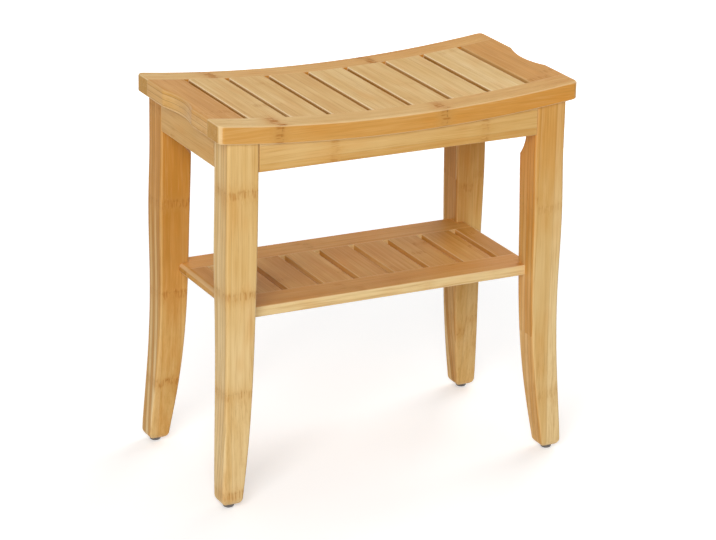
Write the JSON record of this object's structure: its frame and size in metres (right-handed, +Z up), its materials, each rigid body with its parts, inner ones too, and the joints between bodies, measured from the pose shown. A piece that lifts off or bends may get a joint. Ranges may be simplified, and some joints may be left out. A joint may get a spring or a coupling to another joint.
{
  "type": "bath stool",
  "caption": "Bamboo bath stool with a dished slatted seat, hand scoops in both ends, curved legs and a slatted shelf half way down.",
  "frame": {"origin": "on the floor under the middle of the stool", "axes": "+X along the seat's long side, +Y towards the back, +Z up"},
  "size_m": [0.45, 0.2362, 0.4537],
  "materials": {
    "seat_bamboo": "satin varnish",
    "leg_bamboo": "satin varnish",
    "shelf_bamboo": "satin varnish",
    "block_bamboo": "sanded",
    "dowel_wood": "plain",
    "zinc_steel": "zinc plated",
    "glide_plastic": "dark plastic"
  },
  "bodies": {
    "root": {"apron_back": "seat_bamboo", "apron_dowels": "dowel_wood", "apron_front": "seat_bamboo", "apron_left": "seat_bamboo", "apron_right": "seat_bamboo", "bolt_nuts": "zinc_steel", "bolt_washers": "zinc_steel", "corner_block_back_left": "block_bamboo", "corner_block_back_right": "block_bamboo", "corner_block_front_left": "block_bamboo", "corner_block_front_right": "block_bamboo", "corner_block_screws": "zinc_steel", "foot_glide_back_left": "glide_plastic", "foot_glide_back_right": "glide_plastic", "foot_glide_front_left": "glide_plastic", "foot_glide_front_right": "glide_plastic", "glide_nails": "zinc_steel", "hanger_bolts": "zinc_steel", "leg_back_left": "leg_bamboo", "leg_back_right": "leg_bamboo", "leg_front_left": "leg_bamboo", "leg_front_right": "leg_bamboo", "seat_end_board_left": "seat_bamboo", "seat_end_board_right": "seat_bamboo", "seat_rail_back": "seat_bamboo", "seat_rail_front": "seat_bamboo", "seat_screws": "zinc_steel", "seat_slat_1": "seat_bamboo", "seat_slat_2": "seat_bamboo", "seat_slat_3": "seat_bamboo", "seat_slat_4": "seat_bamboo", "seat_slat_5": "seat_bamboo", "seat_slat_6": "seat_bamboo", "seat_slat_7": "seat_bamboo", "shelf_dowels": "dowel_wood", "shelf_rail_back": "shelf_bamboo", "shelf_rail_front": "shelf_bamboo", "shelf_side_left": "shelf_bamboo", "shelf_side_right": "shelf_bamboo", "shelf_slat_1": "shelf_bamboo", "shelf_slat_2": "shelf_bamboo", "shelf_slat_3": "shelf_bamboo", "shelf_slat_4": "shelf_bamboo", "shelf_slat_5": "shelf_bamboo", "shelf_slat_6": "shelf_bamboo", "shelf_slat_7": "shelf_bamboo"}
  },
  "joints": []
}
